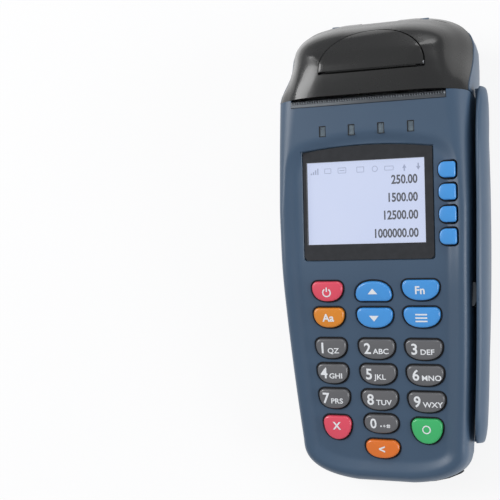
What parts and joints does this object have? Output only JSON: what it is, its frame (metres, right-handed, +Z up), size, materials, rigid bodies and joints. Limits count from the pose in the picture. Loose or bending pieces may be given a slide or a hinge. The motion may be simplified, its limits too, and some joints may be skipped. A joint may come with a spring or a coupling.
{
  "type": "payment terminal",
  "caption": "Handheld payment terminal with a keypad, soft keys beside a display, a swipe rail, a chip-card slot and a receipt printer under a hinged cover.",
  "frame": {"origin": "middle of the bounding box, on the table under the rubber feet", "axes": "+X across the keypad towards the swipe slot, +Y from the card slot at the front to the printer, +Z up from the table"},
  "size_m": [0.0843, 0.1824, 0.0518],
  "materials": {
    "black": "matt black",
    "blue_key": "glossy blue",
    "board": "solder mask green",
    "clear": "clear window",
    "display": "pale display",
    "green_key": "glossy green",
    "grey_key": "glossy dark grey",
    "orange_key": "glossy orange",
    "pack": "shrink sleeve",
    "red_key": "glossy red",
    "rubber": "matt rubber",
    "shell": "satin slate blue",
    "silicone": "matt silicone",
    "smoke": "smoked gloss",
    "spring": "rolled strip",
    "steel": "brushed",
    "white_plastic": "moulded"
  },
  "bodies": {
    "base": {"front_housing": "shell", "rear_housing": "shell", "swipe_rail": "shell", "display_window": "clear", "lcd_panel": "display", "key_mat": "silicone", "keypad_board": "board", "main_board": "board", "port_sockets": "steel", "status_lights": "clear", "card_reader": "black", "speaker": "black", "printer_frame": "steel", "print_head": "steel", "head_spring": "spring", "tear_bar": "steel", "stepper_motor": "steel", "paper_bay": "black", "battery_pack": "pack", "battery_contacts": "black", "cover_hinge_pin": "steel", "rubber_feet": "rubber", "housing_screws": "steel", "mag_head_spring": "spring"},
    "cover": {"printer_cover": "smoke", "platen_bushes": "white_plastic", "lever_pin": "steel"},
    "lever": {"release_lever": "smoke"},
    "platen": {"platen_roller": "rubber", "platen_shaft": "steel", "platen_gear": "white_plastic"},
    "idler": {"idler_gear": "white_plastic"},
    "pinion": {"motor_pinion": "spring"},
    "mag_head": {"mag_head": "steel"},
    "battery_cover": {"battery_cover": "shell"},
    "port_cover": {"port_cover": "shell"},
    "key_0": {"key_0": "grey_key"},
    "key_1": {"key_1": "grey_key"},
    "key_2": {"key_2": "grey_key"},
    "key_3": {"key_3": "grey_key"},
    "key_4": {"key_4": "grey_key"},
    "key_5": {"key_5": "grey_key"},
    "key_6": {"key_6": "grey_key"},
    "key_7": {"key_7": "grey_key"},
    "key_8": {"key_8": "grey_key"},
    "key_9": {"key_9": "grey_key"},
    "key_power": {"key_power": "red_key"},
    "key_alpha": {"key_alpha": "orange_key"},
    "key_up": {"key_up": "blue_key"},
    "key_down": {"key_down": "blue_key"},
    "key_func": {"key_func": "blue_key"},
    "key_menu": {"key_menu": "blue_key"},
    "key_cancel": {"key_cancel": "red_key"},
    "key_enter": {"key_enter": "green_key"},
    "key_clear": {"key_clear": "orange_key"},
    "soft_key_1": {"soft_key_1": "blue_key"},
    "soft_key_2": {"soft_key_2": "blue_key"},
    "soft_key_3": {"soft_key_3": "blue_key"},
    "soft_key_4": {"soft_key_4": "blue_key"}
  },
  "joints": [
    {"name": "key_0_press", "type": "slide", "parent": "base", "child": "key_0", "axis": [0, 0.2419, -0.9703], "range_m": [0, 0.0008], "stiffness_N_per_m": 800, "springref_m": -0.0004},
    {"name": "key_1_press", "type": "slide", "parent": "base", "child": "key_1", "axis": [0, 0.2419, -0.9703], "range_m": [0, 0.0008], "stiffness_N_per_m": 800, "springref_m": -0.0004},
    {"name": "key_2_press", "type": "slide", "parent": "base", "child": "key_2", "axis": [0, 0.2419, -0.9703], "range_m": [0, 0.0008], "stiffness_N_per_m": 800, "springref_m": -0.0004},
    {"name": "key_3_press", "type": "slide", "parent": "base", "child": "key_3", "axis": [0, 0.2419, -0.9703], "range_m": [0, 0.0008], "stiffness_N_per_m": 800, "springref_m": -0.0004},
    {"name": "key_4_press", "type": "slide", "parent": "base", "child": "key_4", "axis": [0, 0.2419, -0.9703], "range_m": [0, 0.0008], "stiffness_N_per_m": 800, "springref_m": -0.0004},
    {"name": "key_5_press", "type": "slide", "parent": "base", "child": "key_5", "axis": [0, 0.2419, -0.9703], "range_m": [0, 0.0008], "stiffness_N_per_m": 800, "springref_m": -0.0004},
    {"name": "key_6_press", "type": "slide", "parent": "base", "child": "key_6", "axis": [0, 0.2419, -0.9703], "range_m": [0, 0.0008], "stiffness_N_per_m": 800, "springref_m": -0.0004},
    {"name": "key_7_press", "type": "slide", "parent": "base", "child": "key_7", "axis": [0, 0.2419, -0.9703], "range_m": [0, 0.0008], "stiffness_N_per_m": 800, "springref_m": -0.0004},
    {"name": "key_8_press", "type": "slide", "parent": "base", "child": "key_8", "axis": [0, 0.2419, -0.9703], "range_m": [0, 0.0008], "stiffness_N_per_m": 800, "springref_m": -0.0004},
    {"name": "key_9_press", "type": "slide", "parent": "base", "child": "key_9", "axis": [0, 0.2419, -0.9703], "range_m": [0, 0.0008], "stiffness_N_per_m": 800, "springref_m": -0.0004},
    {"name": "key_power_press", "type": "slide", "parent": "base", "child": "key_power", "axis": [0, 0.2419, -0.9703], "range_m": [0, 0.0008], "stiffness_N_per_m": 800, "springref_m": -0.0004},
    {"name": "key_alpha_press", "type": "slide", "parent": "base", "child": "key_alpha", "axis": [0, 0.2419, -0.9703], "range_m": [0, 0.0008], "stiffness_N_per_m": 800, "springref_m": -0.0004},
    {"name": "key_up_press", "type": "slide", "parent": "base", "child": "key_up", "axis": [0, 0.2419, -0.9703], "range_m": [0, 0.0008], "stiffness_N_per_m": 800, "springref_m": -0.0004},
    {"name": "key_down_press", "type": "slide", "parent": "base", "child": "key_down", "axis": [0, 0.2419, -0.9703], "range_m": [0, 0.0008], "stiffness_N_per_m": 800, "springref_m": -0.0004},
    {"name": "key_func_press", "type": "slide", "parent": "base", "child": "key_func", "axis": [0, 0.2419, -0.9703], "range_m": [0, 0.0008], "stiffness_N_per_m": 800, "springref_m": -0.0004},
    {"name": "key_menu_press", "type": "slide", "parent": "base", "child": "key_menu", "axis": [0, 0.2419, -0.9703], "range_m": [0, 0.0008], "stiffness_N_per_m": 800, "springref_m": -0.0004},
    {"name": "key_cancel_press", "type": "slide", "parent": "base", "child": "key_cancel", "axis": [0, 0.2419, -0.9703], "range_m": [0, 0.0008], "stiffness_N_per_m": 800, "springref_m": -0.0004},
    {"name": "key_enter_press", "type": "slide", "parent": "base", "child": "key_enter", "axis": [0, 0.2419, -0.9703], "range_m": [0, 0.0008], "stiffness_N_per_m": 800, "springref_m": -0.0004},
    {"name": "key_clear_press", "type": "slide", "parent": "base", "child": "key_clear", "axis": [0, 0.2419, -0.9703], "range_m": [0, 0.0008], "stiffness_N_per_m": 800, "springref_m": -0.0004},
    {"name": "soft_key_1_press", "type": "slide", "parent": "base", "child": "soft_key_1", "axis": [0, 0.1089, -0.9941], "range_m": [0, 0.0008], "stiffness_N_per_m": 800, "springref_m": -0.0004},
    {"name": "soft_key_2_press", "type": "slide", "parent": "base", "child": "soft_key_2", "axis": [0, 0.1089, -0.9941], "range_m": [0, 0.0008], "stiffness_N_per_m": 800, "springref_m": -0.0004},
    {"name": "soft_key_3_press", "type": "slide", "parent": "base", "child": "soft_key_3", "axis": [0, 0.1089, -0.9941], "range_m": [0, 0.0008], "stiffness_N_per_m": 800, "springref_m": -0.0004},
    {"name": "soft_key_4_press", "type": "slide", "parent": "base", "child": "soft_key_4", "axis": [0, 0.1089, -0.9941], "range_m": [0, 0.0008], "stiffness_N_per_m": 800, "springref_m": -0.0004},
    {"name": "cover_hinge", "type": "hinge", "parent": "base", "child": "cover", "pos_m": [0, 0.087, 0.03], "axis": [-1, 0, 0], "range_deg": [0, 90]},
    {"name": "lever_lift", "type": "hinge", "parent": "cover", "child": "lever", "pos_m": [-0.00185, 0.0669, 0.04988], "axis": [1, 0, 0], "range_deg": [0, 35], "stiffness_Nm_per_rad": 0.02, "springref_deg": -8.59},
    {"name": "platen_spin", "type": "hinge", "parent": "cover", "child": "platen", "pos_m": [-0.00345, 0.0633, 0.038], "axis": [1, 0, 0], "continuous": true},
    {"name": "idler_spin", "type": "hinge", "parent": "base", "child": "idler", "pos_m": [-0.03545, 0.05434, 0.03001], "axis": [1, 0, 0], "continuous": true},
    {"name": "pinion_spin", "type": "hinge", "parent": "base", "child": "pinion", "pos_m": [-0.03545, 0.0436, 0.02766], "axis": [1, 0, 0], "continuous": true},
    {"name": "mag_head_float", "type": "slide", "parent": "base", "child": "mag_head", "axis": [-0.9991, 0.0414, 0], "range_m": [0, 0.0005], "stiffness_N_per_m": 1500, "springref_m": -0.0003, "deforming": ["mag_head_spring"]},
    {"name": "battery_cover_slide", "type": "slide", "parent": "base", "child": "battery_cover", "axis": [0, 1, 0], "range_m": [0, 0.006]},
    {"name": "port_cover_hinge", "type": "hinge", "parent": "base", "child": "port_cover", "pos_m": [-0.04122, 0.021, 0.0325], "axis": [0.0077, -1, 0], "range_deg": [0, 110]}
  ],
  "couplings": [
    {"joint": "idler_spin", "follows": "platen_spin", "ratio": -0.41176},
    {"joint": "pinion_spin", "follows": "platen_spin", "ratio": 1.4}
  ]
}
